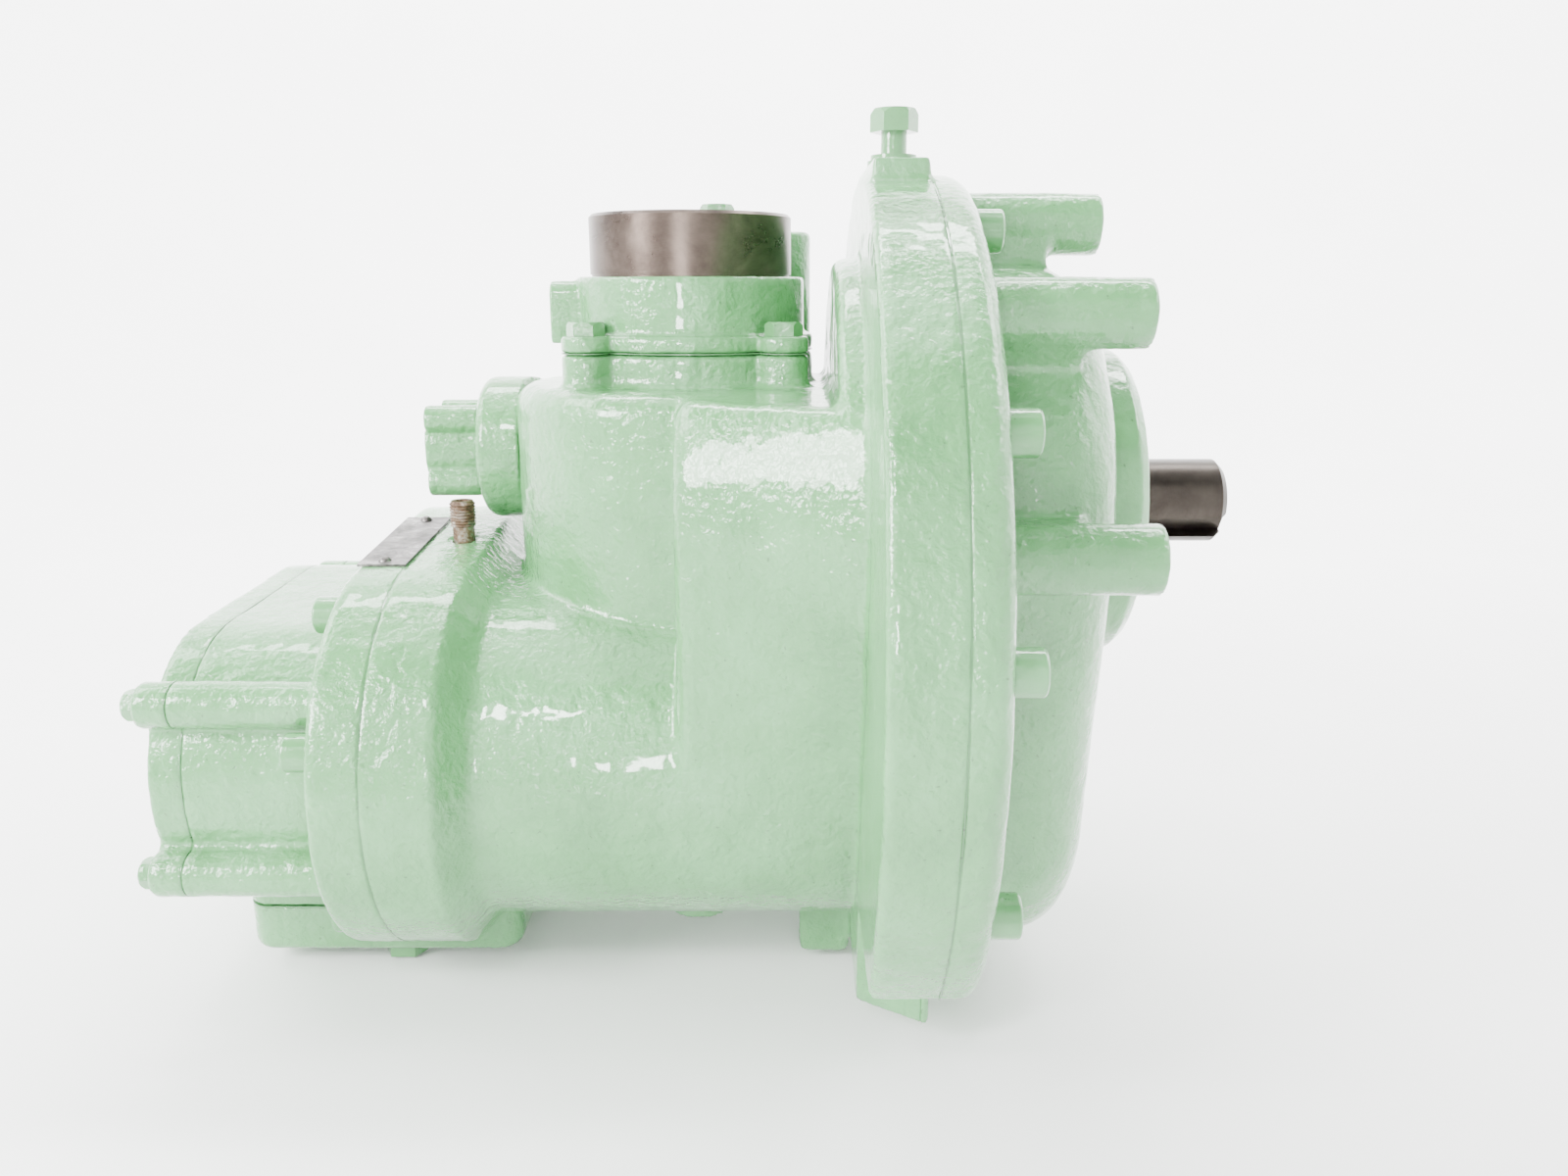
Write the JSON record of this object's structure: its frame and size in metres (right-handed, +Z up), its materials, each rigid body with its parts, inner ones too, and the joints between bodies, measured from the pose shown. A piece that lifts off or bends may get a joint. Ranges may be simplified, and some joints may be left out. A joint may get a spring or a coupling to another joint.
{
  "type": "screw compressor air end with gear case",
  "caption": "Bare-shaft screw air end: rotor barrel with top inlet spigot, far-end bearing housing, underside outlet flange and a round step-up gear case with keyed input shaft.",
  "frame": {"origin": "input shaft axis, on the bearing cap register, 5 mm ahead of the stand-off boss faces", "axes": "+X out along the input shaft, +Z up, +Y towards the female rotor side"},
  "size_m": [0.511, 0.398, 0.42],
  "materials": {
    "green_paint": "thick gloss mint-green paint over rough cast iron, brushed on over the screws too",
    "gasket_sheet": "dark compressed fibre gasket, painted over at its edge",
    "seal_rubber": "black lip seal rubber",
    "cage_brass": "machined brass bearing cage",
    "oiled_steel": "bare turned steel with a brown heat and oil tint",
    "plate_aluminium": "blank brushed plate with grime",
    "stub_steel": "threaded steel with light rust",
    "shaft_steel": "ground shaft with a brown oil film",
    "bearing_steel": "ground bearing steel",
    "rotor_steel": "milled and ground rotor flanks with an oil film",
    "machined_steel": "machined steel"
  },
  "bodies": {
    "housing": {"bearing_cap_gasket": "gasket_sheet", "bearing_cap_screws": "green_paint", "bearing_retainer": "machined_steel", "discharge_gasket": "gasket_sheet", "discharge_housing": "green_paint", "discharge_screws": "green_paint", "dowel_pins": "machined_steel", "drain_plug": "green_paint", "end_cover": "green_paint", "end_cover_gasket": "gasket_sheet", "end_cover_screws": "green_paint", "female_bearing_outers": "bearing_steel", "gear_cover": "green_paint", "gear_cover_gasket": "gasket_sheet", "gear_cover_screws": "green_paint", "inlet_adapter": "green_paint", "inlet_flange_screws": "green_paint", "inlet_gasket": "gasket_sheet", "inlet_spigot": "oiled_steel", "input_bearing_cap": "green_paint", "input_bearing_outers": "bearing_steel", "input_seal": "seal_rubber", "lug_screw": "green_paint", "lug_washers": "green_paint", "main_housing": "green_paint", "male_bearing_outers": "bearing_steel", "nameplate": "plate_aluminium", "nameplate_rivets": "plate_aluminium", "oil_block": "green_paint", "oil_block_screw": "green_paint", "outlet_flange": "green_paint", "outlet_flange_screws": "green_paint", "outlet_gasket": "gasket_sheet", "retainer_screws": "machined_steel", "scavenge_plug": "green_paint", "side_boss_plug": "green_paint", "threaded_stub": "stub_steel", "valve_cap": "green_paint", "valve_cap_screws": "green_paint", "valve_housing": "green_paint"},
    "input_shaft": {"input_shaft": "shaft_steel", "bull_gear": "machined_steel", "bull_gear_key": "machined_steel", "gear_spacer": "machined_steel", "input_lock_nut": "machined_steel", "input_bearing_inners": "bearing_steel"},
    "male_rotor": {"male_rotor": "rotor_steel", "pinion": "machined_steel", "pinion_nut": "machined_steel", "male_lock_nut": "machined_steel", "male_bearing_inners": "bearing_steel"},
    "female_rotor": {"female_rotor": "rotor_steel", "female_lock_nuts": "machined_steel", "female_bearing_inners": "bearing_steel"},
    "input_cage": {"input_bearing_cages": "cage_brass", "input_bearing_rollers": "bearing_steel"},
    "male_cage": {"male_bearing_cages": "cage_brass", "male_bearing_rollers": "bearing_steel"},
    "female_cage": {"female_bearing_cages": "cage_brass", "female_bearing_rollers": "bearing_steel"}
  },
  "joints": [
    {"name": "input_shaft_spin", "type": "hinge", "parent": "housing", "child": "input_shaft", "pos_m": [0, 0, 0], "axis": [1, 0, 0], "continuous": true},
    {"name": "male_rotor_spin", "type": "hinge", "parent": "housing", "child": "male_rotor", "pos_m": [0, 0, -0.129], "axis": [1, 0, 0], "continuous": true},
    {"name": "female_rotor_spin", "type": "hinge", "parent": "housing", "child": "female_rotor", "pos_m": [0, 0.09962, -0.12028], "axis": [1, 0, 0], "continuous": true},
    {"name": "input_cage_spin", "type": "hinge", "parent": "housing", "child": "input_cage", "pos_m": [0, 0, 0], "axis": [1, 0, 0], "continuous": true},
    {"name": "male_cage_spin", "type": "hinge", "parent": "housing", "child": "male_cage", "pos_m": [0, 0, -0.129], "axis": [1, 0, 0], "continuous": true},
    {"name": "female_cage_spin", "type": "hinge", "parent": "housing", "child": "female_cage", "pos_m": [0, 0.09962, -0.12028], "axis": [1, 0, 0], "continuous": true}
  ],
  "couplings": [
    {"joint": "male_rotor_spin", "follows": "input_shaft_spin", "ratio": -1.9655},
    {"joint": "female_rotor_spin", "follows": "input_shaft_spin", "ratio": 1.3103},
    {"joint": "input_cage_spin", "follows": "input_shaft_spin", "ratio": 0.42},
    {"joint": "male_cage_spin", "follows": "input_shaft_spin", "ratio": -0.82552},
    {"joint": "female_cage_spin", "follows": "input_shaft_spin", "ratio": 0.55034}
  ]
}
